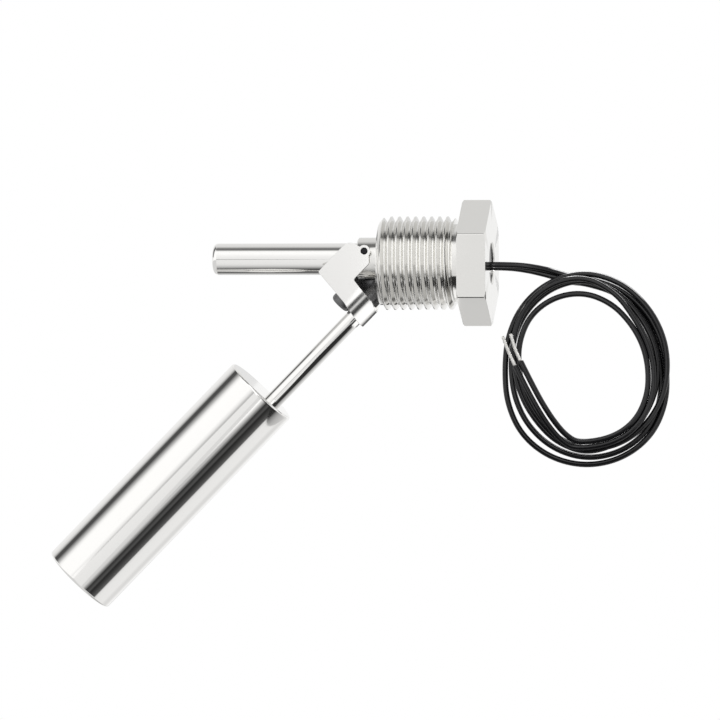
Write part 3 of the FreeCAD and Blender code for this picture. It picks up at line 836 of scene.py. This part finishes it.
def white_floor(shade):
    """Matt white card that takes shadows, and that metal and glass see as an even glow."""
    made, tree, surface = new_material("white_floor")
    matt = add_node(tree, "ShaderNodeBsdfDiffuse", {"Color": shade})
    glow = add_node(tree, "ShaderNodeEmission", {"Color": (1, 1, 1, 1), "Strength": FLOOR_GLOW})
    rays = add_node(tree, "ShaderNodeLightPath")
    seen = add_node(tree, "ShaderNodeMath", {
        0: rays.outputs["Is Glossy Ray"], 1: rays.outputs["Is Transmission Ray"],
    }, operation="MAXIMUM")
    mix = add_node(tree, "ShaderNodeMixShader", {
        0: seen.outputs["Value"], 1: matt.outputs["BSDF"], 2: glow.outputs["Emission"],
    })
    tree.links.new(mix.outputs["Shader"], surface)
    return made


def light_strip(name, middle, axis, radius, tones, azimuth):
    """A strip bent round a bar's axis, that only polished surfaces see, as bands of light and dark."""
    seen_from = Vector((math.sin(azimuth), -math.cos(azimuth), 0))
    lean = seen_from.dot(axis)
    front = (seen_from - axis * lean).normalized()
    up = front.cross(axis)
    up = up if up.z > 0 else -up
    rows, brightness = [], []
    for (t0, b0, w0), (t1, b1, w1) in zip(tones, tones[1:]):
        steps = max(1, round(abs(t1 - t0) / STRIP_STEP))
        for k in range(steps):
            part = k / steps
            turn = math.radians(t0 + (t1 - t0) * part)
            half = (w0 + (w1 - w0) * part) * MM
            out = Vector(middle) + radius * (math.cos(turn) * front + math.sin(turn) * up - lean * axis)
            rows.append([out - axis * half, out + axis * half])
            brightness.append(b0 + (b1 - b0) * part)
    made, tree, surface = new_material(name)
    tone = add_node(tree, "ShaderNodeAttribute", attribute_name="tone")
    glow = add_node(tree, "ShaderNodeEmission", {"Strength": tone.outputs["Fac"]})
    tree.links.new(glow.outputs["Emission"], surface)
    strip = stage_mesh(name, rows, made)
    values = strip.data.attributes.new("tone", "FLOAT", "POINT")
    for i, level in enumerate(brightness):
        values.data[2 * i].value = values.data[2 * i + 1].value = level
    for kind in ("camera", "diffuse", "transmission", "volume_scatter", "shadow"):
        setattr(strip, "visible_" + kind, False)


def soft_lamp(name, place, aim, size, power):
    """A soft rectangular lamp that the camera doesn't see."""
    data = bpy.data.lights.new(name, "AREA")
    data.shape = "RECTANGLE"
    data.size, data.size_y = size
    data.energy = power
    lamp = bpy.data.objects.new(name, data)
    bpy.context.scene.collection.objects.link(lamp)
    lamp.location = place
    lamp.rotation_euler = (Vector(aim) - Vector(place)).to_track_quat("-Z", "Y").to_euler()
    lamp.visible_camera = False


def studio_sky(scene):
    """A white sky to the camera, and to the part one with a broad light and a black flag in it."""
    world = bpy.data.worlds.new("studio")
    world.use_nodes = True
    scene.world = world
    tree = world.node_tree
    tree.nodes.clear()
    ray = add_node(tree, "ShaderNodeTexCoord").outputs["Generated"]
    facing = add_node(tree, "ShaderNodeVectorMath", {0: ray, 1: LIGHT_WAY}, operation="DOT_PRODUCT")
    soft = add_node(tree, "ShaderNodeMapRange", {
        "Value": facing.outputs["Value"], "From Min": 0.15, "From Max": 0.75,
        "To Min": SKY, "To Max": SKY_AT_LIGHT,
    }, interpolation_type="SMOOTHSTEP")
    # the flag draws a dark line beside each crest and edge
    way = add_node(tree, "ShaderNodeSeparateXYZ", {"Vector": ray})
    front = add_node(tree, "ShaderNodeMath", {0: way.outputs["Y"], 1: -1.0}, operation="MULTIPLY")
    turn = add_node(tree, "ShaderNodeMath", {
        0: way.outputs["X"], 1: front.outputs["Value"],
    }, operation="ARCTAN2")
    flag = add_node(tree, "ShaderNodeMath", {
        0: turn.outputs["Value"], 1: FLAG_TURN, 2: FLAG_HALF,
    }, operation="COMPARE")
    rise = add_node(tree, "ShaderNodeMath", {
        0: way.outputs["Z"], 1: front.outputs["Value"],
    }, operation="ARCTAN2")
    depth = add_node(tree, "ShaderNodeMapRange", {
        "Value": rise.outputs["Value"], "From Min": FLAG_FOOT, "From Max": FLAG_TOP,
        "To Min": FLAG_GREY, "To Max": FLAG_BLACK,
    })
    flagged = add_node(tree, "ShaderNodeMix", {
        "Factor": flag.outputs["Value"], "A": soft.outputs["Result"], "B": depth.outputs["Result"],
    })
    rays = add_node(tree, "ShaderNodeLightPath")
    shown = add_node(tree, "ShaderNodeMix", {
        "Factor": rays.outputs["Is Camera Ray"], "A": flagged.outputs["Result"], "B": 1.0,
    })
    sky = add_node(tree, "ShaderNodeBackground", {
        "Color": (1, 1, 1, 1), "Strength": shown.outputs["Result"],
    })
    output = tree.nodes.new("ShaderNodeOutputWorld")
    tree.links.new(sky.outputs["Background"], output.inputs["Surface"])


class LEVELSWITCH_OT_stage(Operator):
    """Sets the camera, floor, sky, lamps and the strips that the polished metal shows"""
    bl_idname = "levelswitch.stage"
    bl_label = "Stage"

    def execute(self, context):
        scene, studio = context.scene, context.scene.levelswitch_studio
        place_camera(scene, studio)
        scene.view_settings.view_transform = "Standard"
        studio_sky(scene)
        stage_mesh("floor", [
            [(x, y, studio.floor_z) for x in (-FLOOR_HALF, FLOOR_HALF)] for y in (-FLOOR_HALF, FLOOR_HALF)
        ], white_floor(scene.levelswitch_finishes.floor))
        for strip in STRIPS:
            light_strip(*strip, studio.azimuth)
        for lamp in LAMPS:
            soft_lamp(*lamp)
        return {"FINISHED"}


# ---- add-on ----

class LEVELSWITCH_PT_panel(Panel):
    """Lists the pieces of the level switch"""
    bl_label = "Level Switch"
    bl_idname = "LEVELSWITCH_PT_panel"
    bl_space_type = "VIEW_3D"
    bl_region_type = "UI"
    bl_category = "Level Switch"

    def draw(self, context):
        for operator in OPERATORS:
            self.layout.operator(operator.bl_idname)
        for settings in SETTINGS:
            box = self.layout.box()
            group = getattr(context.scene, settings)
            for name in group.bl_rna.properties.keys():
                if name not in ("rna_type", "name"):
                    box.prop(group, name)


OPERATORS = (
    LEVELSWITCH_OT_leads, LEVELSWITCH_OT_plug, LEVELSWITCH_OT_hinge, LEVELSWITCH_OT_float,
    LEVELSWITCH_OT_sensor, LEVELSWITCH_OT_stage,
)
SETTINGS = {
    "levelswitch_leads": LeadSizes, "levelswitch_plug": PlugSizes, "levelswitch_studio": StudioSizes,
    "levelswitch_finishes": Finishes,
}


def register():
    for made in (*SETTINGS.values(), *OPERATORS, LEVELSWITCH_PT_panel):
        bpy.utils.register_class(made)
    for name, group in SETTINGS.items():
        setattr(bpy.types.Scene, name, PointerProperty(type=group))


def unregister():
    for name in SETTINGS:
        delattr(bpy.types.Scene, name)
    for made in (LEVELSWITCH_PT_panel, *reversed(OPERATORS), *reversed(SETTINGS.values())):
        bpy.utils.unregister_class(made)


def main():
    register()
    for operator in OPERATORS:
        call = getattr(bpy.ops.levelswitch, operator.bl_idname.partition(".")[2])
        call()


if __name__ == "__main__":
    main()
